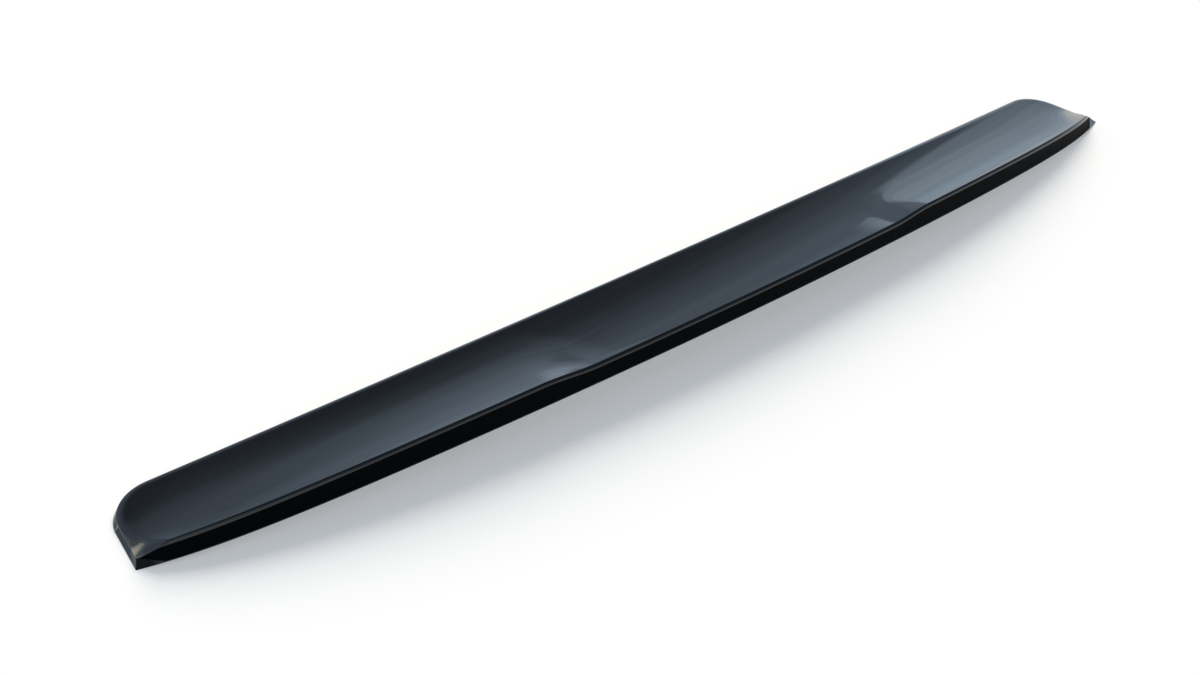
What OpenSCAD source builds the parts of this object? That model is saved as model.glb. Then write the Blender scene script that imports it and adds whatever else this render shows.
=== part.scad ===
/* [Overall] */
// Width over the two rear corners
width = 1200; // [900:10:1400]
// Front to back length of the base at the centre
base_depth = 119; // [90:1:150]
// How much higher the base edge is at the centre than at the ends
crown = 29; // [10:0.5:40]
// Wall thickness of the moulding
wall = 3; // [2:0.5:3.5]

/* [Plan outline] */
// How far the rear edge sweeps forward from the centre to near the ends
rear_bow = 52.5; // [20:0.5:70]
// Extra forward hook of the rear edge at the very ends
corner_hook = 14; // [0:0.5:20]
// How far the front edge sweeps forward from the centre to the ends
front_bow = 39; // [15:0.5:60]
// Distance from the side at which the front corner starts to round off
corner_start = 50; // [35:1:70]
// Lean of the side walls in plan, in degrees
side_flare = 6; // [0:1:12]

/* [Rear lip] */
// Height of the lip's lower edge above the base, on the two outer lengths
lip_height = 23.4; // [18:0.2:32]
// How much lower the lip is along its middle length
lip_step = 4.4; // [0:0.2:8]
// Half length of the lower middle part, to the middle of the step
step_at = 215; // [120:5:380]
// Length of the slope between the two lip heights
step_length = 58; // [30:2:120]
// How far the lip hangs out behind the base edge in the middle
lip_overhang = 2.5; // [1:0.5:9]
// How far the lip comes down towards the ends
end_drop = 13.7; // [8:0.1:15]
// How far the lip moves forward towards the ends
end_sweep = 9.5; // [4:0.5:14]
// Length over which the lip bends down and forward to its pointed end
lip_turn = 19; // [14:1:40]
// Size of the rounded nose of the lip
lip_roll = 4.6; // [3:0.2:6]
// Slope of the skin just above the rounded nose, in degrees
nose_slope = 50; // [40:1:60]

/* [Top skin] */
// Height of the skin above the base behind the front edge
front_height = 5.8; // [5:0.2:9]
// How late the skin rises towards the lip in the middle, 1 is a straight ramp
ramp_power = 1.9; // [1.4:0.1:2.6]
// How much later it rises close to the sides
end_delay = 4; // [0:0.2:5]
// How much lower the skin lies close to the sides, between the front and the lip
side_dip = 2.6; // [0:0.1:3]
// Share of the depth, from the front, that the lip step does not reach
step_fade = 0.35; // [0:0.05:0.6]
// Slope at which the skin falls to the walls, in degrees
fall_slope = 26; // [18:1:40]

/* [Side and front walls] */
// Height of the wall at the front edge
front_wall = 4.4; // [3:0.2:5]
// Height of the wall along the middle of the sides
side_wall = 2.8; // [2:0.2:6]
// How far the side wall leans in over its height
side_inset = 3.8; // [2:0.2:5]
// How far the front wall leans in over its height
front_inset = 1.6; // [1:0.2:3]
// Height of the pointed end of the lip above the rear corner
tip_height = 4.3; // [3.5:0.1:7]
// How far the pointed end of the lip lies in front of the rear corner
tip_setback = 8; // [5:0.5:12]

/* [Underside] */
// Width of the bonding land along the front and the sides
front_land = 12; // [8:1:18]
// Width of the bonding land along the rear edge
rear_land = 6; // [5:0.5:10]
// Height of the thin upright band at the foot of the rear face
rim_height = 1.2; // [0.8:0.2:2]
// Length of the corner face that shows below the end of the lip
corner_face = 22; // [15:1:35]

/* [Hidden] */

half = width / 2;
// Powers of the position along the width: the higher one is, the nearer to the ends it acts.
hook_power = 10;
drop_power = 5.5;
sweep_power = 7;
skin_power = 30;
// How late the lip step shows over the depth of the skin
step_power = 1.6;
// Inside this distance from the side, the sections fan round the corner.
fan_length = 120;
fan_from = half - fan_length;
// Height of the rounded meeting of the skin with the lip and the walls
blend = 1.4;
// The sharp tip and the rear corner are blunted by this share of the fan and this length.
tip_cut = 0.02;
corner_cut = 0.8;
// Share of the fan in which the lip makes its turn
turn_share = 0.25;
// The hollow starts this far from the side and then deepens over its run.
hollow_from = 12;
hollow_run = 10;
// The least height of the hollow, and its distance from the lip in wall thicknesses
hollow_least = 0.6;
lip_solid = 1.6;
// The lands shrink where the moulding is less deep than this.
full_depth = 45;

function clamp(v) = min(max(v, 0), 1);
function ease(v) = let (c = clamp(v)) c * c * (3 - 2 * c);
function mix(a, b, f) = a + (b - a) * f;
function soft_min(a, b, k) = let (h = max(k - abs(a - b), 0) / k) min(a, b) - h * h * k / 4;
// Position along the width to a power: 0 in the middle, 1 at the rear corners
function late(x, power) = pow(abs(x) / half, power);

// Base: the curved surface that the moulding is bonded to
function base_z(x) = crown * (1 - late(x, 2));
function rear_y(x) = rear_bow * late(x, 2) + corner_hook * late(x, hook_power);
function front_y(x) = base_depth + front_bow * late(x, 2);
function front_slope(x) = 2 * front_bow * x / pow(half, 2);

// Plan outline of one end: straight side, round corner, then the front edge
corner = [half, rear_y(half)];
side_dir = [-sin(side_flare), cos(side_flare)];
side_in = [-cos(side_flare), -sin(side_flare)];
arc_x = half - corner_start;
arc_touch = [arc_x, front_y(arc_x)];
front_in = [front_slope(arc_x), -1] / norm([front_slope(arc_x), 1]);
arc_r = (arc_touch - corner) * side_in / (1 - front_in * side_in);
arc_mid = arc_touch + arc_r * front_in;
side_len = (arc_mid - corner) * side_dir;
arc_to = 90 + atan(front_slope(arc_x));
arc_len = arc_r * (arc_to - side_flare) * PI / 180;
outline_len = side_len + arc_len + arc_x - fan_from;

function arc_angle(s) = side_flare + (s - side_len) / arc_r * 180 / PI;
function outline_in(s) =
    s < side_len ? side_in
    : s < side_len + arc_len ? -[cos(arc_angle(s)), sin(arc_angle(s))]
    : [0, -1];
function outline(s) =
    s < side_len ? corner + s * side_dir
    : s < side_len + arc_len ? arc_mid - arc_r * outline_in(s)
    : let (x = arc_x - (s - side_len - arc_len)) [x, front_y(x)];

// Walls: how far a place in plan lies forward of the rear corner and inside the outline
function along(p) = (p - corner) * side_dir;
function round_share(p) = ease((along(p) - side_len) / arc_r);
function inset(p) = mix(side_inset, front_inset, round_share(p));
function inside(p) =
    let (q = p - arc_mid, ahead = q * side_dir, out = -(q * side_in))
    ahead > 0 && out > 0 ? arc_r - norm(q) : min((p - corner) * side_in, front_y(p.x) - p.y);
function wall_height(p) =
    along(p) < 3 * tip_setback
    ? mix(tip_height, side_wall, ease((along(p) - tip_setback) / (2 * tip_setback)))
    : mix(side_wall, front_wall, round_share(p));
function wall_top(s) =
    let (p = outline(s) + inset(outline(s)) * outline_in(s))
    [p.x, p.y, base_z(p.x) + wall_height(p)];

// Lip: its lower edge comes down and forward at the ends and bends to the tip.
tip = wall_top(tip_setback);
turn_x = tip.x - lip_turn;
function raised(x) = ease((abs(x) - step_at) / step_length + 0.5);
function low_lip(x) = lip_height - lip_step - end_drop * late(x, drop_power);
function lip_z(x) = low_lip(x) + lip_step * raised(x);
function lip_y(x) = rear_y(x) - lip_overhang + end_sweep * late(x, sweep_power);
function lip(x) = [x, lip_y(x), base_z(x) + lip_z(x)];
function lip_end(a) =
    let (x = turn_x + lip_turn * sin(a), reach = tip.y - lip_y(tip.x))
    [x, lip_y(x) + reach * (1 - cos(a)), base_z(x) + mix(tip_height, lip_z(x), cos(a))];

// Skin: a ramp that rises late, cut down by the lip's nose and by the fall to the walls
roll_x = lip_roll * (1 - sin(nose_slope));
roll_z = lip_roll * cos(nose_slope);
function nose(d) =
    d < roll_x ? sqrt(max(0, 2 * lip_roll * d - d * d))
    : roll_z + (d - roll_x) * tan(nose_slope);
function depth_share(p) = clamp((front_y(p.x) - p.y) / (front_y(p.x) - lip_y(p.x)));
function step_share(c, x) =
    pow(clamp((c - step_fade) / (1 - step_fade)), step_power + end_delay * late(x, skin_power));
function ramp(p) =
    let (c = depth_share(p), end = late(p.x, skin_power))
    let (low = front_height - side_dip * end * ease(2 * c))
    let (rise = pow(c, ramp_power + end_delay * end))
    mix(low, low_lip(p.x) + lip_roll, rise) + lip_step * raised(p.x) * step_share(c, p.x);
function fall(p) = wall_height(p) + max(0, inside(p) - inset(p)) * tan(fall_slope);
function skin_z(p, from_lip, edge_z) =
    let (high = base_z(p.x) + soft_min(ramp(p), fall(p), blend))
    soft_min(high, edge_z + nose(from_lip), blend);

// Distances from the wall and from the lip at which the skin gets points
near = [0, 0.3, 1, 2, 3.2, 4.6, 6.4, 9];
near_last = len(near) - 1;
spread = 8;
function shares(length) =
    let (k = min(1, length / (4 * near[near_last])) / length, end = near[near_last] * k)
    concat([for (d = near) d * k],
        [for (i = [1:spread - 1]) mix(end, 1 - end, i / spread)],
        [for (i = [near_last:-1:0]) 1 - near[i] * k]);

function plan(p) = [p.x, p.y];
function on_base(p) = [p.x, p.y, base_z(p.x)];
function skin_point(top, edge, t) =
    let (length = norm(plan(edge - top)), p = mix(plan(top), plan(edge), t))
    [p.x, p.y, skin_z(p, (1 - t) * length, edge.z)];
function roof_point(top, edge, t) =
    let (p = skin_point(top, edge, t))
    [p.x, p.y, max(p.z - wall, base_z(p.x) + hollow_least)];

// One section: wall foot, skin, lip, rear face, then back along the underside
roof_steps = 6;
function section(foot, top, edge, crease, heel) =
    let (length = norm(plan(edge - top)), below = norm(foot - heel))
    let (fit = min(1, below / full_depth), ahead = (foot - heel) / below)
    let (land_rear = heel + rear_land * fit * ahead)
    let (land_front = foot - front_land * fit * ahead)
    let (depth = ease((half - (foot.x + heel.x) / 2 - hollow_from) / hollow_run))
    let (first = 1 - lip_solid * wall / length, last = (front_land - front_inset) / length)
    concat(
        [on_base(foot)],
        [for (t = shares(length)) skin_point(top, edge, t)],
        [crease, on_base(heel), on_base(land_rear)],
        [for (i = [0:roof_steps])
            let (low = on_base(mix(land_rear, land_front, (i + 1) / (roof_steps + 2))))
            mix(low, roof_point(top, edge, mix(first, last, i / roof_steps)), depth)],
        [on_base(land_front)]);

// Rear face: a crease runs from the tip down to the band along its foot.
function crease_at(heel) =
    let (f = clamp((half - heel.x) / corner_face))
    on_base(heel) + (1 - f) * (tip - on_base(corner)) + [0, 0, rim_height * f];

function fan_section(w) =
    let (turning = w < turn_share, low = (w - tip_cut) / (1 - tip_cut))
    let (bend = (w - tip_cut) / (turn_share - tip_cut))
    let (x = mix(turn_x, fan_from, (w - turn_share) / (1 - turn_share)))
    let (edge = turning ? lip_end(90 * (1 - w / turn_share)) : lip(x))
    let (heel_x = turning ? mix(half - corner_cut, turn_x, bend) : x)
    let (heel = [heel_x, rear_y(heel_x)])
    let (foot = outline(mix(corner_cut, outline_len, low)))
    section(foot, wall_top(mix(tip_setback, outline_len, w)), edge, crease_at(heel), heel);
function run_section(x) =
    let (foot = [x, front_y(x)], heel = [x, rear_y(x)])
    let (top = [x, foot.y - front_inset, base_z(x) + front_wall])
    section(foot, top, lip(x), crease_at(heel), heel);

// Stations of the right half: close at the tip and at the step of the lip
fan_steps = 26;
fan_crowding = 1.4;
step_reach = 0.6 * step_length;
step_out = step_at + step_reach;
step_in = step_at - step_reach;
outer_steps = 7;
lip_steps = 10;
middle_steps = 5;
function run(from, to, n) = [for (i = [1:n]) mix(from, to, i / n)];
run_x = concat(run(fan_from, step_out, outer_steps), run(step_out, step_in, lip_steps),
    run(step_in, 0, middle_steps));
fan_w = [for (i = [0:fan_steps]) mix(tip_cut, 1, pow(i / fan_steps, fan_crowding))];
right_half = concat([for (w = fan_w) fan_section(w)], [for (x = run_x) run_section(x)]);
left_half = [for (i = [len(right_half) - 2:-1:0]) [for (p = right_half[i]) [-p.x, p.y, p.z]]];
sections = concat(right_half, left_half);

// The frame's origin: middle of the outer box in plan, underside at zero
front_most = arc_mid.y + arc_r;
rear_most = -lip_overhang;
origin_y = (front_most + rear_most) / 2;

// Closes a stack of rings of equal length, with a fan from the middle of each end ring.
module loft(rings) {
    n = len(rings[0]);
    m = len(rings);
    middle_of = function(ring) [for (k = [0:2]) [for (p = ring) p[k]] * [for (p = ring) 1] / n];
    ring_points = [for (ring = rings) each ring];
    skin = [for (j = [0:m - 2]) for (i = [0:n - 1])
        let (a = j * n + i, b = j * n + (i + 1) % n)
        each [[a, b, b + n], [a, b + n, a + n]]];
    ends = [for (i = [0:n - 1])
        let (k = (i + 1) % n)
        each [[k, i, m * n], [(m - 1) * n + i, (m - 1) * n + k, m * n + 1]]];
    polyhedron(concat(ring_points, [middle_of(rings[0]), middle_of(rings[m - 1])]),
        concat(skin, ends));
}

module spoiler() {
    color([0.06, 0.065, 0.075]) translate([0, -origin_y, 0]) loft(sections);
}

spoiler();
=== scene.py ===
"""A gloss black lip spoiler for a tailgate: its moulded shell, its finish and a plain studio."""
import math

import bpy
import numpy as np
from bpy.props import FloatProperty, FloatVectorProperty, IntProperty, PointerProperty
from bpy.types import Operator, Panel, PropertyGroup
from mathutils import Matrix, Vector


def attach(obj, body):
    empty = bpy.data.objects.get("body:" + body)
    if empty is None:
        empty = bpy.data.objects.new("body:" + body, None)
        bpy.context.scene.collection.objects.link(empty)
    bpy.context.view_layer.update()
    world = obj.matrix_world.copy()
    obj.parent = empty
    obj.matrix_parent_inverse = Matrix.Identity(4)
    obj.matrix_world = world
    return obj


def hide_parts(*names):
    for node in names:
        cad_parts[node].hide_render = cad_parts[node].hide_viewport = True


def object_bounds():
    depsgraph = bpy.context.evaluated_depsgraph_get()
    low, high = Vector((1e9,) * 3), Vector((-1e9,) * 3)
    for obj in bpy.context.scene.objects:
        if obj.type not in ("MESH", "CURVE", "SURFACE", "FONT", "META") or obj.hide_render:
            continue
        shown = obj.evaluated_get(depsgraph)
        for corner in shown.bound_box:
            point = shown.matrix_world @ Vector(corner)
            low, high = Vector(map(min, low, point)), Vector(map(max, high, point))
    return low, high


bl_info = {
    "name": "Tailgate spoiler",
    "version": (1, 0, 0),
    "blender": (4, 5, 0),
    "location": "View3D > Sidebar > Spoiler",
    "description": "Builds a one-piece moulded lip spoiler and a studio around it",
    "category": "Object",
}

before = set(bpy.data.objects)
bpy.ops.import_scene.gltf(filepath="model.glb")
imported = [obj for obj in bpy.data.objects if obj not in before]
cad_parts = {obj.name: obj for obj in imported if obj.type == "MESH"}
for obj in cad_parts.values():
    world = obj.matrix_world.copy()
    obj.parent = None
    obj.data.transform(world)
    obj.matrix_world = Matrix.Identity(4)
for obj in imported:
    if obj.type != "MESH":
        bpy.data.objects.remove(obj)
cad_low, cad_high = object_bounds()


# Sizes

class SpoilerShape(PropertyGroup):
    """Sizes of the moulding, the same ones that its solid is built from."""
    half_width: FloatProperty(name="Half width", description="From the middle to a rear corner",
                              default=0.600, unit="LENGTH")
    base_depth: FloatProperty(name="Base depth", description="Front to back at the middle",
                              default=0.119, unit="LENGTH")
    crown: FloatProperty(name="Crown", description="Rise of the base edge at the middle",
                         default=0.029, unit="LENGTH")
    wall: FloatProperty(name="Wall", description="Thickness of the moulding",
                        default=0.003, unit="LENGTH")
    rear_bow: FloatProperty(name="Rear bow", description="Forward sweep of the rear edge",
                            default=0.0525, unit="LENGTH")
    corner_hook: FloatProperty(name="Corner hook", description="Extra sweep at the very ends",
                               default=0.014, unit="LENGTH")
    front_bow: FloatProperty(name="Front bow", description="Forward sweep of the front edge",
                             default=0.039, unit="LENGTH")
    corner_start: FloatProperty(name="Corner start",
                                description="Where the front corner leaves the front edge",
                                default=0.050, unit="LENGTH")
    side_flare: FloatProperty(name="Side flare", description="Lean of the side walls in plan",
                              default=math.radians(6), subtype="ANGLE")
    lip_height: FloatProperty(name="Lip height", description="Lip edge above the base, outer parts",
                              default=0.0234, unit="LENGTH")
    lip_step: FloatProperty(name="Lip step", description="Drop of the lip along its middle",
                            default=0.0044, unit="LENGTH")
    step_at: FloatProperty(name="Step place", description="Half length of the lower middle part",
                           default=0.215, unit="LENGTH")
    step_length: FloatProperty(name="Step length", description="Length of the slope at the step",
                               default=0.058, unit="LENGTH")
    step_fade: FloatProperty(name="Step fade", description="Front share that the step leaves alone",
                             default=0.35, subtype="FACTOR")
    lip_overhang: FloatProperty(name="Lip overhang", description="Lip edge behind the base edge",
                                default=0.0025, unit="LENGTH")
    end_drop: FloatProperty(name="End drop", description="How far the lip comes down at the ends",
                            default=0.0137, unit="LENGTH")
    end_sweep: FloatProperty(name="End sweep", description="How far it moves forward there",
                             default=0.0095, unit="LENGTH")
    lip_turn: FloatProperty(name="Lip turn", description="Length of the bend to the pointed end",
                            default=0.019, unit="LENGTH")
    lip_roll: FloatProperty(name="Lip roll", description="Radius of the rounded nose of the lip",
                            default=0.0046, unit="LENGTH")
    nose_slope: FloatProperty(name="Nose slope", description="Slope of the skin above the nose",
                              default=math.radians(50), subtype="ANGLE")
    front_height: FloatProperty(name="Front height", description="Skin above the base in front",
                                default=0.0058, unit="LENGTH")
    ramp_power: FloatProperty(name="Ramp power", description="How late the skin rises to the lip",
                              default=1.9)
    end_delay: FloatProperty(name="End delay", description="How much later it rises at the sides",
                             default=4.0)
    side_dip: FloatProperty(name="Side dip", description="Dip of the skin close to the sides",
                            default=0.0026, unit="LENGTH")
    fall_slope: FloatProperty(name="Fall slope", description="Slope of the fall to the walls",
                              default=math.radians(26), subtype="ANGLE")
    front_wall: FloatProperty(name="Front wall", description="Height of the front wall",
                              default=0.0044, unit="LENGTH")
    side_wall: FloatProperty(name="Side wall", description="Height of the side wall",
                             default=0.0028, unit="LENGTH")
    side_inset: FloatProperty(name="Side inset", description="Lean of the side wall",
                              default=0.0038, unit="LENGTH")
    front_inset: FloatProperty(name="Front inset", description="Lean of the front wall",
                               default=0.0016, unit="LENGTH")
    tip_height: FloatProperty(name="Tip height", description="Pointed lip end above the corner",
                              default=0.0043, unit="LENGTH")
    tip_setback: FloatProperty(name="Tip setback", description="Pointed lip end before the corner",
                               default=0.008, unit="LENGTH")
    front_land: FloatProperty(name="Front land", description="Width of the rim, front and sides",
                              default=0.012, unit="LENGTH")
    rear_land: FloatProperty(name="Rear land", description="Width of the rim along the rear",
                             default=0.006, unit="LENGTH")
    rim_height: FloatProperty(name="Rim height", description="Band at the foot of the rear face",
                              default=0.0012, unit="LENGTH")
    corner_face: FloatProperty(name="Corner face", description="Length of the face below the tip",
                               default=0.022, unit="LENGTH")
    fan_length: FloatProperty(name="Fan length", description="Length over which sections fan out",
                              default=0.120, unit="LENGTH")
    turn_share: FloatProperty(name="Turn share", description="Share of the fan used by the bend",
                              default=0.25, subtype="FACTOR")
    hollow_from: FloatProperty(name="Hollow start", description="Solid length at each side",
                               default=0.012, unit="LENGTH")
    hollow_run: FloatProperty(name="Hollow run", description="Length over which it deepens",
                              default=0.010, unit="LENGTH")
    hollow_least: FloatProperty(name="Least hollow", description="Least height of the hollow",
                                default=0.0006, unit="LENGTH")
    lip_solid: FloatProperty(name="Solid lip", description="Solid part behind the lip, in walls",
                             default=1.6)
    full_depth: FloatProperty(name="Full depth", description="Less deep than this, rims shrink",
                              default=0.045, unit="LENGTH")
    blend: FloatProperty(name="Blend", description="Height over which two slopes round off",
                         default=0.0014, unit="LENGTH")
    edge_round: FloatProperty(name="Edge rounding", description="Radius of the moulded edges",
                              default=0.0006, unit="LENGTH")
    fan_stations: IntProperty(name="Fan stations", description="Sections in each end", default=110)
    run_stations: IntProperty(name="Run stations", description="Sections from fan to middle",
                              default=170)


# Powers of the position along the width: the higher, the nearer to the ends it acts
HOOK_POWER, DROP_POWER, SWEEP_POWER, SKIN_POWER = 10, 5.5, 7, 30
# Power of the depth with which the raised outer parts rise towards the lip
STEP_POWER = 1.6
# First station's share of the fan, and the power that crowds stations towards the corner
FIRST_SHARE, CROWD_POWER = 0.004, 1.5
# Extra density of the stations at the step of the lip, and the places weighed for them
STEP_DENSITY, PLACES_WEIGHED = 2, 2000
# Points across the skin between its two crowded edges, and across the hollow
MIDDLE_POINTS, HOLLOW_POINTS = 30, 16
# Distances of the skin's points from the wall's top and from the lip, in edge radii
WALL_SPACING = (1.0, 1.6, 2.3, 3.2, 4.4, 6, 8, 10.5, 14, 18, 24)
NOSE_SPACING = (0.05, 0.15, 0.35, 0.65, 1.05, 1.5, 2.0, 2.6, 3.2, 3.9, 4.6, 5.4, 6.3, 7.4, 9, 11,
                14, 18, 24)
# A skin shorter than this many times the longest distance has its points drawn together
SPACING_ROOM = 2.6
# Rounding of the lip's and of the rim's edges in edge radii, and the most it takes of a side
LIP_ROUND, RIM_ROUND, SIDE_SHARE = 0.5, 0.7, 0.45


# Curves of the moulding, all as whole arrays

def ease(v):
    """Smooth step: 3 v squared minus 2 v cubed, held at 0 and 1."""
    c = np.clip(v, 0, 1)
    return c * c * (3 - 2 * c)


def mix(a, b, f):
    """From a to b by the share f."""
    return a + (b - a) * f


def soft_min(a, b, k):
    """The lower of two heights, rounded off by a parabola where they are within k."""
    h = np.maximum(k - np.abs(a - b), 0) / k
    return np.minimum(a, b) - h * h * k / 4


class Form:
    """The curves and the skin of the moulding in metres, its rear middle at y = 0."""

    def __init__(self, s):
        self.s = s
        self.corner = np.array([s.half_width, self.rear_y(s.half_width)])
        self.side_dir = np.array([-math.sin(s.side_flare), math.cos(s.side_flare)])
        self.side_in = np.array([-math.cos(s.side_flare), -math.sin(s.side_flare)])
        self.arc_x = s.half_width - s.corner_start
        slope = 2 * s.front_bow * self.arc_x / s.half_width ** 2
        touch = np.array([self.arc_x, self.front_y(self.arc_x)])
        front_in = np.array([slope, -1]) / math.hypot(slope, 1)
        self.arc_r = (touch - self.corner) @ self.side_in / (1 - front_in @ self.side_in)
        self.arc_mid = touch + self.arc_r * front_in
        self.side_len = (self.arc_mid - self.corner) @ self.side_dir
        self.arc_len = self.arc_r * (math.pi / 2 + math.atan(slope) - s.side_flare)
        self.fan_from = s.half_width - s.fan_length
        self.outline_len = self.side_len + self.arc_len + self.arc_x - self.fan_from
        self.tip = self.wall_top(np.array([s.tip_setback]))[0]
        self.turn_x = self.tip[0] - s.lip_turn
        self.origin_y = (self.arc_mid[1] + self.arc_r - s.lip_overhang) / 2

    def late(self, x, power):
        """Position along the width to a power: 0 in the middle, 1 at the rear corners."""
        return (np.abs(x) / self.s.half_width) ** power

    def base_z(self, x):
        """A parabola: the crown at the middle, zero at the rear corners."""
        return self.s.crown * (1 - self.late(x, 2))

    def rear_y(self, x):
        """A parabola plus a steep power that hooks the last centimetres forward."""
        return self.s.rear_bow * self.late(x, 2) + self.s.corner_hook * self.late(x, HOOK_POWER)

    def front_y(self, x):
        """A parabola that lies furthest forward at the ends."""
        return self.s.base_depth + self.s.front_bow * self.late(x, 2)

    def outline(self, length):
        """Plan outline and its inward normal at a length along the side, arc and front edge."""
        s = np.asarray(length, float)
        angle = self.s.side_flare + (s - self.side_len) / self.arc_r
        round_in = -np.stack([np.cos(angle), np.sin(angle)], -1)
        x = self.arc_x - (s - self.side_len - self.arc_len)
        on_side = (s < self.side_len)[:, None]
        on_arc = (s < self.side_len + self.arc_len)[:, None]
        inward = np.where(on_side, self.side_in, np.where(on_arc, round_in, (0.0, -1.0)))
        side = self.corner + s[:, None] * self.side_dir
        arc = self.arc_mid - self.arc_r * round_in
        front = np.stack([x, self.front_y(x)], -1)
        return np.where(on_side, side, np.where(on_arc, arc, front)), inward

    def along(self, p):
        """How far a place lies forward of the rear corner, along the side."""
        return (p - self.corner) @ self.side_dir

    def round_share(self, p):
        """Share of the way round the front corner: 0 along the side, 1 along the front."""
        return ease((self.along(p) - self.side_len) / self.arc_r)

    def inset(self, p):
        """How far the wall leans in: the side's lean, then the front's."""
        return mix(self.s.side_inset, self.s.front_inset, self.round_share(p))

    def inside(self, p):
        """Distance to the outline: to the arc round the corner, else to the nearer edge."""
        q = p - self.arc_mid
        round_corner = (q @ self.side_dir > 0) & (q @ self.side_in < 0)
        straight = np.minimum((p - self.corner) @ self.side_in, self.front_y(p[..., 0]) - p[..., 1])
        return np.where(round_corner, self.arc_r - np.linalg.norm(q, axis=-1), straight)

    def wall_height(self, p):
        """High at the tip, low along the side, higher again in front."""
        s, n = self.s, self.along(p)
        rise = mix(s.tip_height, s.side_wall, ease((n - s.tip_setback) / (2 * s.tip_setback)))
        return np.where(n < 3 * s.tip_setback, rise,
                        mix(s.side_wall, s.front_wall, self.round_share(p)))

    def wall_top(self, length):
        """The outline moved in by the wall's lean and up by its height."""
        point, inward = self.outline(length)
        p = point + self.inset(point)[:, None] * inward
        return np.column_stack([p, self.base_z(p[:, 0]) + self.wall_height(p)])

    def raised(self, x):
        """Smooth step: 0 on the lower middle part of the lip, 1 on its outer parts."""
        return ease((np.abs(x) - self.s.step_at) / self.s.step_length + 0.5)

    def low_lip(self, x):
        """Lip above the base as if it were low all along, less a steep power at the ends."""
        s = self.s
        return s.lip_height - s.lip_step - s.end_drop * self.late(x, DROP_POWER)

    def lip_z(self, x):
        """Lip above the base, with its raised outer parts."""
        return self.low_lip(x) + self.s.lip_step * self.raised(x)

    def lip_y(self, x):
        """Rear edge, moved back by the overhang and forward by a steep power at the ends."""
        s = self.s
        return self.rear_y(x) - s.lip_overhang + s.end_sweep * self.late(x, SWEEP_POWER)

    def lip(self, x):
        """Points of the lip's edge, up to where it turns to its tips."""
        return np.column_stack([x, self.lip_y(x), self.base_z(x) + self.lip_z(x)])

    def lip_end(self, a):
        """Quarter of an ellipse in plan and in height, from the straight lip to its tip."""
        x = self.turn_x + self.s.lip_turn * np.sin(a)
        reach = self.tip[1] - self.lip_y(self.tip[0])
        y = self.lip_y(x) + reach * (1 - np.cos(a))
        return np.column_stack([x, y, self.base_z(x) + mix(self.s.tip_height, self.lip_z(x),
                                                           np.cos(a))])

    def crease(self, heel_x):
        """Edge between the rear face and the band at its foot, rising to the tip at the end."""
        f = np.clip((self.s.half_width - heel_x) / self.s.corner_face, 0, 1)[:, None]
        heel = self.on_base(np.column_stack([heel_x, self.rear_y(heel_x)]))
        to_tip = self.tip - np.append(self.corner, self.base_z(self.corner[0]))
        return heel + (1 - f) * to_tip + f * np.array([0, 0, self.s.rim_height])

    def on_base(self, p):
        """The same places in plan, at the height of the base."""
        return np.concatenate([p[..., :2], self.base_z(p[..., :1])], -1)

    def ramp(self, p):
        """Skin without its edges: a power of the depth, plus the raised outer parts."""
        s, x = self.s, p[..., 0]
        c = np.clip((self.front_y(x) - p[..., 1]) / (self.front_y(x) - self.lip_y(x)), 0, 1)
        end = self.late(x, SKIN_POWER)
        low = s.front_height - s.side_dip * end * ease(2 * c)
        share = np.clip((c - s.step_fade) / (1 - s.step_fade), 0, 1)
        return (mix(low, self.low_lip(x) + s.lip_roll, c ** (s.ramp_power + s.end_delay * end))
                + s.lip_step * self.raised(x) * share ** (STEP_POWER + s.end_delay * end))

    def fall(self, p):
        """Straight slope up from the top of the nearest wall."""
        gap = np.maximum(self.inside(p) - self.inset(p), 0)
        return self.wall_height(p) + gap * math.tan(self.s.fall_slope)

    def nose(self, d):
        """Quarter round that starts upright, then a straight slope."""
        s = self.s
        d_end = s.lip_roll * (1 - math.sin(s.nose_slope))
        arc = np.sqrt(np.maximum(2 * s.lip_roll * d - d * d, 0))
        line = s.lip_roll * math.cos(s.nose_slope) + (d - d_end) * math.tan(s.nose_slope)
        return np.where(d < d_end, arc, line)

    def skin(self, top, edge, t):
        """Points of the skin at shares t of the way from the wall's top to the lip's edge."""
        length = np.linalg.norm((edge - top)[:, :2], axis=1)[:, None]
        p = top[:, None, :2] + (edge - top)[:, None, :2] * t[..., None]
        high = self.base_z(p[..., 0]) + soft_min(self.ramp(p), self.fall(p), self.s.blend)
        z = soft_min(high, edge[:, 2:] + self.nose((1 - t) * length), self.s.blend)
        return np.concatenate([p, z[..., None]], -1)

    def rails(self):
        """Wall foot, wall top, lip edge, crease and heel at every station of one half."""
        s = self.s
        w = mix(FIRST_SHARE, 1.0, np.linspace(0, 1, s.fan_stations) ** CROWD_POWER)
        turning = w < s.turn_share
        x_run = mix(self.turn_x, self.fan_from, (w - s.turn_share) / (1 - s.turn_share))
        angle = math.pi / 2 * (1 - np.minimum(w / s.turn_share, 1))
        edge = np.where(turning[:, None], self.lip_end(angle), self.lip(x_run))
        heel_x = np.where(turning, mix(s.half_width, self.turn_x, w / s.turn_share), x_run)
        foot = self.outline(w * self.outline_len)[0]
        top = self.wall_top(mix(s.tip_setback, self.outline_len, w))
        x = self.run_places()
        edge = np.concatenate([edge, self.lip(x)])
        heel_x = np.concatenate([heel_x, x])
        foot = np.concatenate([foot, np.column_stack([x, self.front_y(x)])])
        front_top = [x, self.front_y(x) - s.front_inset, self.base_z(x) + s.front_wall]
        top = np.concatenate([top, np.column_stack(front_top)])
        heel = self.on_base(np.column_stack([heel_x, self.rear_y(heel_x)]))
        return self.on_base(foot), top, edge, self.crease(heel_x), heel

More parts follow.
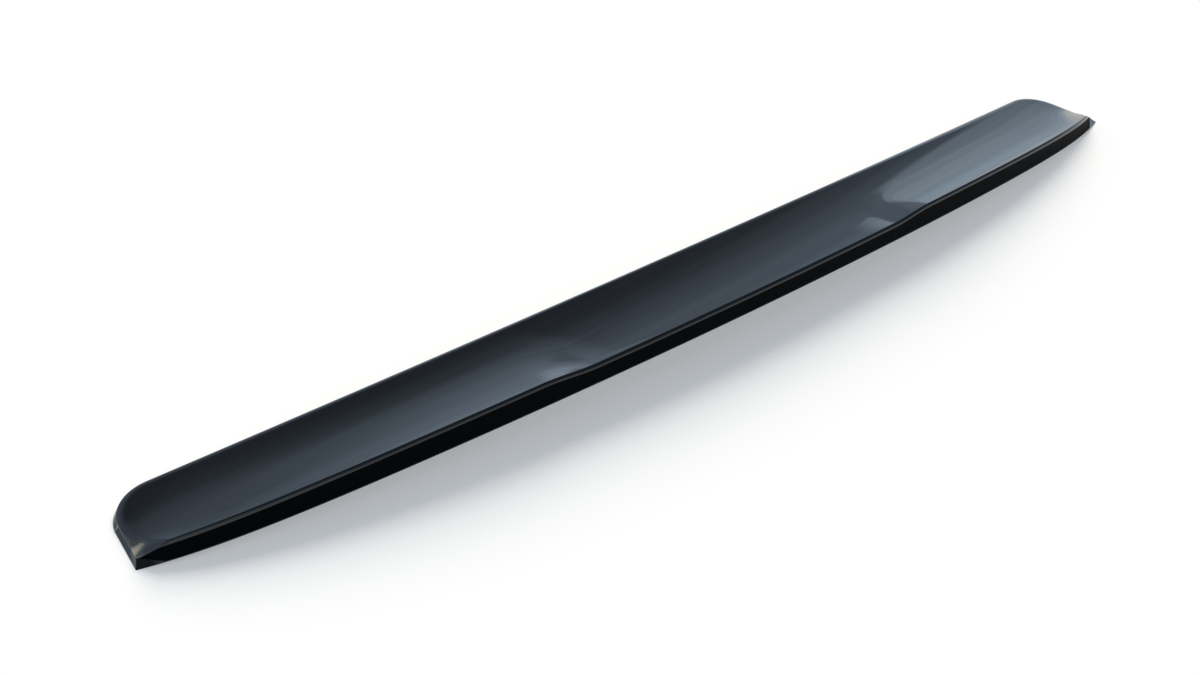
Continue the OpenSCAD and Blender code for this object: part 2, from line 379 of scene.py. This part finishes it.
    def run_places(self):
        """Station places from the fan to the middle, closer in a bell curve round the step."""
        s = self.s
        x = np.linspace(self.fan_from, 0, PLACES_WEIGHED)
        density = 1 + STEP_DENSITY * np.exp(-((x - s.step_at) / s.step_length) ** 2)
        share = np.concatenate([[0], np.cumsum((density[1:] + density[:-1]) / 2)])
        return np.interp(np.linspace(0, 1, s.run_stations + 1)[1:], share / share[-1], x)


def corner_arc(before, at, after, radius, points):
    """A quadratic curve that rounds a corner, over the radius or part of a shorter side."""
    def toward(p):
        d = p - at
        n = np.linalg.norm(d, axis=-1, keepdims=True)
        return at + d * np.minimum(radius / np.maximum(n, 1e-9), SIDE_SHARE)

    a, b = toward(before), toward(after)
    t = np.linspace(0, 1, points)[None, :, None]
    return (1 - t) ** 2 * a[:, None] + 2 * t * (1 - t) * at[:, None] + t ** 2 * b[:, None]


def between(a, b, points):
    """Evenly spaced points from a to b, without the two ends."""
    t = np.linspace(0, 1, points + 2)[None, 1:-1, None]
    return a[:, None] * (1 - t) + b[:, None] * t


def skin_shares(length, radius):
    """Shares along the skin: close together near the wall and near the lip."""
    wall, nose = radius * np.array(WALL_SPACING), radius * np.array(NOSE_SPACING)
    fit = np.minimum(1, length / (SPACING_ROOM * nose[-1]))[:, None] / length[:, None]
    first, last = wall * fit, 1 - nose[::-1] * fit
    even = np.linspace(0, 1, MIDDLE_POINTS + 2)[None, 1:-1]
    middle = mix(first[:, -1:], last[:, :1], even)
    return np.concatenate([first, middle, last], 1)


def shell_rings(form):
    """One closed ring for each station: wall, skin, lip, rear face, rim and hollow."""
    s = form.s
    foot, top_rail, edge_rail, crease, heel = form.rails()
    r = s.edge_round
    length = np.linalg.norm((edge_rail - top_rail)[:, :2], axis=1)
    ends = form.skin(top_rail, edge_rail, np.tile([0.0, 1.0], (len(length), 1)))
    top, edge = ends[:, 0], ends[:, 1]
    skin = form.skin(top_rail, edge_rail, skin_shares(length, r))
    below = np.linalg.norm((foot - heel)[:, :2], axis=1, keepdims=True)
    ahead = (foot - heel)[:, :2] / below
    fit = np.minimum(1, below / s.full_depth)
    land_rear = form.on_base(heel[:, :2] + s.rear_land * fit * ahead)
    land_front = form.on_base(foot[:, :2] - s.front_land * fit * ahead)
    depth = ease((s.half_width - (foot[:, 0] + heel[:, 0]) / 2 - s.hollow_from) / s.hollow_run)
    first = 1 - s.lip_solid * s.wall / length
    last = (s.front_land - s.front_inset) / length
    shares = mix(first[:, None], last[:, None], np.linspace(0, 1, HOLLOW_POINTS)[None])
    roof = form.skin(top_rail, edge_rail, shares) - (0, 0, s.wall)
    roof[..., 2] = np.maximum(roof[..., 2], form.base_z(roof[..., 0]) + s.hollow_least)
    along = (np.arange(HOLLOW_POINTS)[None, :, None] + 1) / (HOLLOW_POINTS + 1)
    flat = form.on_base(land_rear[:, None] * (1 - along) + land_front[:, None] * along)
    hollow = mix(flat, roof, depth[:, None, None])
    lip_r, rim_r = LIP_ROUND * r, RIM_ROUND * r
    # Each part of the ring, with its polish at its first and last point
    gloss, satin = (1, 1), (0, 0)
    pieces = [
        (gloss, corner_arc(land_front, foot, top, r, 5)),
        (gloss, between(foot, top, 3)),
        (gloss, corner_arc(foot, top, skin[:, 0], r, 4)),
        (gloss, skin),
        (satin, corner_arc(skin[:, -1], edge, crease, lip_r, 3)),
        (satin, between(edge, crease, 3)),
        ((0, 1), corner_arc(edge, crease, heel, lip_r, 4)),
        ((1, 0), corner_arc(crease, heel, land_rear, lip_r, 4)),
        (satin, between(heel, land_rear, 1)),
        (satin, corner_arc(heel, land_rear, hollow[:, 0], rim_r, 4)),
        (satin, hollow),
        (satin, corner_arc(hollow[:, -1], land_front, foot, rim_r, 4)),
        (satin, between(land_front, foot, 1)),
    ]
    polished = np.concatenate([np.linspace(*ends, part.shape[1]) for ends, part in pieces])
    return np.concatenate([part for ends, part in pieces], 1), polished


def closed_loft(rings):
    """Points and faces of a stack of rings, each end closed by a fan from its middle."""
    m, n = rings.shape[:2]
    points = np.concatenate([rings.reshape(-1, 3), rings[:1].mean(1), rings[-1:].mean(1)])
    j, i = np.meshgrid(np.arange(m - 1), np.arange(n), indexing="ij")
    k = (i + 1) % n
    quads = np.stack([j * n + i, (j + 1) * n + i, (j + 1) * n + k, j * n + k], -1).reshape(-1, 4)
    i = np.arange(n)
    k = (i + 1) % n
    last = (m - 1) * n
    fans = np.concatenate([np.stack([i, k, np.full(n, m * n)], -1),
                           np.stack([last + k, last + i, np.full(n, m * n + 1)], -1)])
    return points, quads, fans


def new_object(name, points, *face_sets):
    """A smooth shaded object at the origin, from points and one or more arrays of faces."""
    mesh = bpy.data.meshes.new(name)
    faces = [face for faces in face_sets for face in faces.tolist()]
    mesh.from_pydata(points.tolist(), [], faces)
    mesh.update()
    mesh.shade_smooth()
    obj = bpy.data.objects.new(name, mesh)
    bpy.context.scene.collection.objects.link(obj)
    return obj


# Finish

class SpoilerFinish(PropertyGroup):
    """Colours and gloss of the moulding."""
    plastic: FloatVectorProperty(name="Plastic", description="Colour of the moulded plastic",
                                 default=(0.0014, 0.0016, 0.0020), subtype="COLOR", size=3)
    flow: FloatVectorProperty(name="Flow tone", description="Colour where the plastic flowed in",
                              default=(0.0024, 0.0027, 0.0033), subtype="COLOR", size=3)
    polished_roughness: FloatProperty(name="Polished roughness", default=0.045, subtype="FACTOR",
                                      description="Roughness of the outer skin")
    satin_roughness: FloatProperty(name="Satin roughness", default=0.42, subtype="FACTOR",
                                   description="Roughness of the rear face and the underside")
    peel_size: FloatProperty(name="Peel size", description="Width of the orange peel's cells",
                             default=0.004, unit="LENGTH")
    peel_depth: FloatProperty(name="Peel depth", description="Height of the orange peel",
                              default=0.0000015, unit="LENGTH")
    wave_size: FloatProperty(name="Wave size", description="Width of the slow waves in the skin",
                             default=0.07, unit="LENGTH")
    wave_depth: FloatProperty(name="Wave depth", description="Height of the slow waves",
                              default=0.00004, unit="LENGTH")


def node(tree, kind, links=(), **values):
    """Adds a node, sets its properties or inputs by name, and links (output, input) pairs."""
    n = tree.nodes.new(kind)
    for key, value in values.items():
        if hasattr(n, key):
            setattr(n, key, value)
        else:
            n.inputs[key.replace("_", " ")].default_value = value
    for output, name in links:
        tree.links.new(output, n.inputs[name])
    return n


def combine(tree, operation, first, *rest):
    """Chains outputs or numbers through one kind of Math node."""
    for value in rest:
        both = node(tree, "ShaderNodeMath", operation=operation)
        for socket, item in zip(both.inputs, (first, value)):
            if isinstance(item, (int, float)):
                socket.default_value = item
            else:
                tree.links.new(item, socket)
        first = both.outputs["Value"]
    return first


def blend_colour(tree, factor, below, above):
    """Mixes two colours, or a node's colour and a new one, by a factor."""
    mixed = node(tree, "ShaderNodeMix", [(factor, "Factor")], data_type="RGBA")
    for name, colour in (("A", below), ("B", above)):
        if isinstance(colour, bpy.types.NodeSocket):
            tree.links.new(colour, mixed.inputs[name])
        else:
            mixed.inputs[name].default_value = (*colour, 1)
    return mixed.outputs["Result"]


def noise(tree, place, scale, detail, **values):
    """Cloudy noise at a place, about 0 to 1."""
    return node(tree, "ShaderNodeTexNoise", [(place, "Vector")], Scale=scale, Detail=detail,
                **values).outputs["Fac"]


def stretch(tree, value, low, high, **values):
    """Maps a value, from 0 and 1 unless told otherwise, to low and high."""
    return node(tree, "ShaderNodeMapRange", [(value, "Value")], To_Min=low, To_Max=high,
                **values).outputs["Result"]


def step(tree, value, start, end):
    """Smooth step from 0 to 1 between two values, or from 1 to 0 where start is larger."""
    return stretch(tree, value, float(start > end), float(start < end),
                   interpolation_type="SMOOTHSTEP", From_Min=min(start, end),
                   From_Max=max(start, end))


# Noise scales of the flow tone and of the haze, and how much of the roughness is haze
FLOW_SCALE, HAZE_SCALE, HAZE_SHARE = 9.0, 38.0, 0.15
# The plastic below the gloss hardly shines by itself
PLASTIC_SHINE, COAT_ROUGHNESS, COAT_IOR = 0.01, 0.02, 1.5


def gloss_black(finish):
    """Black plastic under a clear gloss, satin where the mould wasn't polished."""
    material = bpy.data.materials.new("gloss_black_plastic")
    material.use_nodes = True
    tree = material.node_tree
    shader = tree.nodes["Principled BSDF"]
    place = node(tree, "ShaderNodeTexCoord").outputs["Object"]
    polished = node(tree, "ShaderNodeAttribute", attribute_name="polished").outputs["Fac"]
    tone = blend_colour(tree, noise(tree, place, FLOW_SCALE, 3.0), finish.plastic, finish.flow)
    tree.links.new(tone, shader.inputs["Base Color"])
    rough = stretch(tree, polished, finish.satin_roughness, finish.polished_roughness)
    haze = stretch(tree, noise(tree, place, HAZE_SCALE, 5.0), 1 - HAZE_SHARE, 1 + HAZE_SHARE)
    tree.links.new(combine(tree, "MULTIPLY", rough, haze), shader.inputs["Roughness"])
    tree.links.new(polished, shader.inputs["Coat Weight"])
    peel = node(tree, "ShaderNodeBump",
                [(noise(tree, place, 1 / finish.peel_size, 1.0), "Height")],
                Distance=finish.peel_depth).outputs["Normal"]
    wavy = node(tree, "ShaderNodeBump",
                [(noise(tree, place, 1 / finish.wave_size, 0.0), "Height"), (peel, "Normal")],
                Distance=finish.wave_depth).outputs["Normal"]
    tree.links.new(wavy, shader.inputs["Normal"])
    tree.links.new(wavy, shader.inputs["Coat Normal"])
    shader.inputs["Specular IOR Level"].default_value = PLASTIC_SHINE
    shader.inputs["Coat Roughness"].default_value = COAT_ROUGHNESS
    shader.inputs["Coat IOR"].default_value = COAT_IOR
    return material


class SPOILER_OT_shell(Operator):
    """Builds the moulded shell: skin, walls, lip, rear face, rim and hollow underside."""
    bl_idname = "spoiler.shell"
    bl_label = "Moulded shell"

    def execute(self, context):
        form = Form(context.scene.spoiler_shape)
        rings, polished = shell_rings(form)
        mirrored = rings[-2::-1] * (-1, 1, 1)
        rings = np.concatenate([rings, mirrored]) - (0, form.origin_y, 0)
        points, quads, fans = closed_loft(rings)
        shell = new_object("moulded_shell", points, quads, fans)
        weight = np.concatenate([np.tile(polished, len(rings)), np.ones(2)])
        layer = shell.data.attributes.new("polished", "FLOAT", "POINT")
        layer.data.foreach_set("value", weight.astype(np.float32))
        shell.data.materials.append(gloss_black(context.scene.spoiler_finish))
        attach(shell, "root")
        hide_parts("spoiler")
        return {"FINISHED"}


# Studio

class SpoilerStudio(PropertyGroup):
    """Camera, lamp, floor and surroundings."""
    azimuth: FloatProperty(name="Azimuth", description="Camera's turn round the object",
                           default=math.radians(-38.1642), subtype="ANGLE")
    elevation: FloatProperty(name="Elevation", description="Camera's height above the horizon",
                             default=math.radians(35.8808), subtype="ANGLE")
    distance: FloatProperty(name="Distance", description="Camera to the point it looks at",
                            default=1.4984, unit="LENGTH")
    aim: FloatVectorProperty(name="Aim", description="Point that the camera looks at",
                             default=(-0.11762, 0.01508, -0.0028), subtype="XYZ", size=3)
    lens: FloatProperty(name="Lens", description="Focal length in millimetres", default=47.349)
    floor_size: FloatProperty(name="Floor size", description="Side of the floor",
                              default=16.0, unit="LENGTH")
    floor_colour: FloatVectorProperty(name="Floor colour", description="Colour of the floor",
                                      default=(0.96, 0.95, 0.93), subtype="COLOR", size=3)
    floor_white: FloatProperty(name="Floor white", description="Share of plain white in the floor",
                               default=0.34, subtype="FACTOR")
    key_strength: FloatProperty(name="Key strength", description="Strength of the soft key light",
                                default=4.85)
    key_width: FloatProperty(name="Key width", description="Width of the key light as seen",
                             default=math.radians(42), subtype="ANGLE")
    key_turn: FloatProperty(name="Key turn", description="Key light, from straight ahead to right",
                            default=math.radians(48), subtype="ANGLE")
    key_height: FloatProperty(name="Key height", description="Key light above the horizon",
                              default=math.radians(30.5), subtype="ANGLE")
    key_colour: FloatVectorProperty(name="Key colour", description="Colour of the key light",
                                    default=(1.0, 0.94, 0.865), subtype="COLOR", size=3)
    ceiling: FloatVectorProperty(name="Ceiling", description="Dim upper part of the room",
                                 default=(0.155, 0.19, 0.23), subtype="COLOR", size=3)
    wall_light: FloatVectorProperty(name="Wall", description="Lighter lower part of the room",
                                    default=(0.385, 0.485, 0.605), subtype="COLOR", size=3)
    left_panel: FloatVectorProperty(name="Left panel", description="Soft panel in front, left",
                                    default=(0.63, 0.79, 0.97), subtype="COLOR", size=3)
    right_panel: FloatVectorProperty(name="Right panel", description="Soft panel in front, right",
                                     default=(0.77, 0.97, 1.15), subtype="COLOR", size=3)
    warm_panel: FloatVectorProperty(name="Warm panel", description="Small warm panel at the left",
                                    default=(3.9, 3.7, 3.0), subtype="COLOR", size=3)
    horizon: FloatVectorProperty(name="Horizon", description="Pale rim of the room",
                                 default=(0.88, 1.0, 1.12), subtype="COLOR", size=3)


# Edges of what surrounds the object. Turns are in degrees, from straight ahead to the right, and
# heights are sines of the rise. A pair is where a smooth edge starts and where it ends.
LEAN = 0.483
WALL_HEIGHT, HORIZON_HEIGHT = (0.48, 0.74), (0.06, 0.0)
GLOW_HEIGHT, GLOW_TURN = (0.62, 0.32), (-4, -22)
LEFT_HEIGHT, LEFT_START, LEFT_END = (0.62, 0.12), (11, 27), (30.7, 29.4)
FOOT_HEIGHT, FOOT_TURN = (0.235, 0.20), 2.2
BRIGHT_HEIGHT, BRIGHT_TURN, BRIGHT_GAIN = (0.20, 0.12), (27.5, 30.5), 1.35
RIGHT_START, RIGHT_EDGE, RIGHT_END = 42.1, (-0.008, 0.010), (110, 90)
RIGHT_HEIGHT, RIGHT_CORNER = 0.690, 0.28
SIDE_HEIGHT, SIDE_TURN = (0.215, 0.25), 2.0
DIM_SHARE, DIM_START, DIM_END = 0.6, (44, 60), (78, 68)
WARM_HEIGHT, WARM_TURN, WARM_TOP = (0.17, 0.24), (-33, -31.8), (-2.0, -3.6)
# Faint level streaks: how they are squashed, their scale and the share of light they change
STREAK_SQUASH, STREAK_SCALE, STREAK_SHARE = (2.0, 2.0, 16.0), 1.6, 0.12
# Scale of the floor's grain and the colour it leaves
GRAIN_SCALE, GRAIN_SHADE, FLOOR_ROUGHNESS = 6.0, 0.99, 0.9
LAMP_DISTANCE, SENSOR_WIDTH = 4.0, 36.0


def turned(tree, turn, edge):
    """Smooth step between two turns in degrees."""
    return step(tree, turn, *map(math.radians, edge))


def surroundings(world, studio):
    """A dim ceiling, lighter walls, a pale horizon, two large soft panels and a warm one."""
    world.use_nodes = True
    tree = world.node_tree
    direction = node(tree, "ShaderNodeTexCoord").outputs["Generated"]
    parts = node(tree, "ShaderNodeSeparateXYZ", [(direction, "Vector")]).outputs
    turn, rise = combine(tree, "ARCTAN2", parts["X"], parts["Y"]), parts["Z"]
    # Height that drops towards the right, as the upper edges of walls and panels do
    lean = combine(tree, "MULTIPLY", parts["X"], LEAN)
    upper = combine(tree, "ADD", combine(tree, "MINIMUM", lean, LEAN / 2), rise)
    room = blend_colour(tree, step(tree, upper, *WALL_HEIGHT), studio.wall_light, studio.ceiling)
    glow = combine(tree, "MULTIPLY", step(tree, rise, *GLOW_HEIGHT),
                   turned(tree, turn, GLOW_TURN))
    room = blend_colour(tree, glow, room, studio.left_panel)
    # The left panel fades in and ends at a sharp edge, which stands out further low down
    foot = combine(tree, "MULTIPLY", step(tree, rise, *FOOT_HEIGHT), math.radians(FOOT_TURN))
    left = combine(tree, "MULTIPLY", turned(tree, turn, LEFT_START),
                   turned(tree, combine(tree, "SUBTRACT", turn, foot), LEFT_END),
                   step(tree, rise, *LEFT_HEIGHT))
    room = blend_colour(tree, left, room, studio.left_panel)
    bright = combine(tree, "MULTIPLY", left, step(tree, rise, *BRIGHT_HEIGHT),
                     turned(tree, turn, BRIGHT_TURN))
    room = blend_colour(tree, bright, room, [c * BRIGHT_GAIN for c in studio.left_panel])
    # The right panel has a round upper corner, and is dimmer in its middle
    side = combine(tree, "MULTIPLY", step(tree, rise, *SIDE_HEIGHT), math.radians(SIDE_TURN))
    beside = combine(tree, "SUBTRACT", turn, side, math.radians(RIGHT_START))
    under = combine(tree, "SUBTRACT", RIGHT_HEIGHT, combine(tree, "ADD", lean, rise))
    corner = node(tree, "ShaderNodeMath", [(beside, 0), (under, 1)], operation="SMOOTH_MIN")
    corner.inputs[2].default_value = RIGHT_CORNER
    dim = combine(tree, "MULTIPLY", DIM_SHARE, turned(tree, turn, DIM_START),
                  turned(tree, turn, DIM_END))
    right = combine(tree, "MULTIPLY", step(tree, corner.outputs["Value"], *RIGHT_EDGE),
                    combine(tree, "SUBTRACT", 1.0, dim), turned(tree, turn, RIGHT_END))
    room = blend_colour(tree, right, room, studio.right_panel)
    room = blend_colour(tree, step(tree, rise, *HORIZON_HEIGHT), room, studio.horizon)
    # The warm panel's top edge drops by one degree for each degree to the right
    above = node(tree, "ShaderNodeMath", [(rise, 0)], operation="ARCSINE").outputs["Value"]
    warm = combine(tree, "MULTIPLY", turned(tree, combine(tree, "ADD", above, turn), WARM_TOP),
                   turned(tree, turn, WARM_TURN), step(tree, rise, *WARM_HEIGHT))
    room = blend_colour(tree, warm, room, studio.warm_panel)
    squash = node(tree, "ShaderNodeMapping", [(direction, "Vector")])
    squash.inputs["Scale"].default_value = STREAK_SQUASH
    streaks = noise(tree, squash.outputs["Vector"], STREAK_SCALE, 4.0, Distortion=0.8)
    level = stretch(tree, streaks, 1 - STREAK_SHARE, 1 + STREAK_SHARE, From_Min=0.3, From_Max=0.7)
    back = tree.nodes["Background"]
    tree.links.new(room, back.inputs["Color"])
    tree.links.new(level, back.inputs["Strength"])


def white_floor(studio):
    """A matt floor that is partly plain white to the eye and in reflections."""
    material = bpy.data.materials.new("floor_paint")
    material.use_nodes = True
    tree = material.node_tree
    place = node(tree, "ShaderNodeTexCoord").outputs["Object"]
    tone = blend_colour(tree, noise(tree, place, GRAIN_SCALE, 4.0), studio.floor_colour,
                        [c * GRAIN_SHADE for c in studio.floor_colour])
    paint = tree.nodes["Principled BSDF"]
    tree.links.new(tone, paint.inputs["Base Color"])
    paint.inputs["Roughness"].default_value = FLOOR_ROUGHNESS
    paint.inputs["Specular IOR Level"].default_value = 0.0
    ray = node(tree, "ShaderNodeLightPath").outputs
    seen = combine(tree, "MAXIMUM", ray["Is Camera Ray"], ray["Is Glossy Ray"],
                   ray["Is Transmission Ray"])
    share = combine(tree, "MULTIPLY", seen, studio.floor_white)
    white = node(tree, "ShaderNodeEmission")
    both = node(tree, "ShaderNodeMixShader", [(share, "Fac")])
    tree.links.new(paint.outputs["BSDF"], both.inputs[1])
    tree.links.new(white.outputs["Emission"], both.inputs[2])
    tree.links.new(both.outputs["Shader"], tree.nodes["Material Output"].inputs["Surface"])
    return material


class SPOILER_OT_stage(Operator):
    """Sets the floor, the surroundings, the lamp and the camera."""
    bl_idname = "spoiler.stage"
    bl_label = "Studio"

    def execute(self, context):
        studio, scene = context.scene.spoiler_studio, context.scene
        half = studio.floor_size / 2
        low = float(cad_low[2])
        square = np.array([(-half, -half, low), (half, -half, low), (half, half, low),
                           (-half, half, low)])
        floor = new_object("floor", square, np.array([[0, 1, 2, 3]]))
        floor.data.materials.append(white_floor(studio))
        data = bpy.data.lights.new("key_light", "SUN")
        data.energy, data.angle, data.color = (studio.key_strength, studio.key_width,
                                               studio.key_colour)
        lamp = bpy.data.objects.new("key_light", data)
        turn, height = studio.key_turn, studio.key_height
        toward = Vector((math.sin(turn) * math.cos(height), math.cos(turn) * math.cos(height),
                         math.sin(height)))
        lamp.location = toward * LAMP_DISTANCE
        lamp.rotation_euler = toward.to_track_quat("Z", "Y").to_euler()
        lamp.visible_glossy = False
        scene.collection.objects.link(lamp)
        world = bpy.data.worlds.new("studio")
        scene.world = world
        surroundings(world, studio)
        scene.view_settings.view_transform = "Standard"
        data = bpy.data.cameras.new("camera")
        data.lens, data.sensor_width = studio.lens, SENSOR_WIDTH
        data.sensor_fit = "HORIZONTAL"
        camera = bpy.data.objects.new("camera", data)
        a, e = studio.azimuth, studio.elevation
        right = Vector((math.cos(a), math.sin(a), 0))
        back = Vector((math.sin(a) * math.cos(e), -math.cos(a) * math.cos(e), math.sin(e)))
        axes = Matrix((right, back.cross(right), back)).transposed()
        camera.matrix_world = (Matrix.Translation(Vector(studio.aim) + back * studio.distance)
                               @ axes.to_4x4())
        scene.collection.objects.link(camera)
        scene.camera = camera
        return {"FINISHED"}


class SPOILER_PT_panel(Panel):
    """Lists the parts of the spoiler and of its studio."""
    bl_label = "Tailgate spoiler"
    bl_space_type = "VIEW_3D"
    bl_region_type = "UI"
    bl_category = "Spoiler"

    def draw(self, context):
        for settings, operator in ((context.scene.spoiler_shape, SPOILER_OT_shell),
                                   (context.scene.spoiler_finish, None),
                                   (context.scene.spoiler_studio, SPOILER_OT_stage)):
            box = self.layout.box()
            for name in settings.bl_rna.properties.keys():
                if name not in {"rna_type", "name"}:
                    box.prop(settings, name)
            if operator:
                box.operator(operator.bl_idname)


CLASSES = (SpoilerShape, SpoilerFinish, SpoilerStudio, SPOILER_OT_shell, SPOILER_OT_stage,
           SPOILER_PT_panel)
SETTINGS = {"spoiler_shape": SpoilerShape, "spoiler_finish": SpoilerFinish,
            "spoiler_studio": SpoilerStudio}


def register():
    for cls in CLASSES:
        bpy.utils.register_class(cls)
    for name, cls in SETTINGS.items():
        setattr(bpy.types.Scene, name, PointerProperty(type=cls))


def unregister():
    for name in SETTINGS:
        delattr(bpy.types.Scene, name)
    for cls in reversed(CLASSES):
        bpy.utils.unregister_class(cls)


def main():
    register()
    bpy.ops.spoiler.shell()
    bpy.ops.spoiler.stage()


if __name__ == "__main__":
    main()
